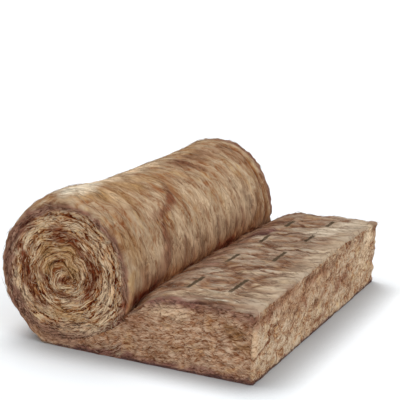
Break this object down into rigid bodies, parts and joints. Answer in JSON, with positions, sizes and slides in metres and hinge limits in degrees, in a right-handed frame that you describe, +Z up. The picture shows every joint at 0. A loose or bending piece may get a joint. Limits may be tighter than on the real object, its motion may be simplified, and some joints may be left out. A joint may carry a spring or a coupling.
{
  "type": "insulation roll",
  "caption": "Part-unrolled mat of brown mineral wool: a tight roll with its turns showing on both ends, and a thick free tail lying flat beside it.",
  "frame": {"origin": "on the floor under the middle of the whole piece", "axes": "+X from the roll towards the cut end of the tail, +Y along the roll's axis from the front end to the rear end, +Z up"},
  "size_m": [0.823, 1.2, 0.4601],
  "materials": {
    "wool": "loose matt mineral fibre, brown"
  },
  "bodies": {
    "root": {"wool_mat": "wool"}
  },
  "joints": []
}
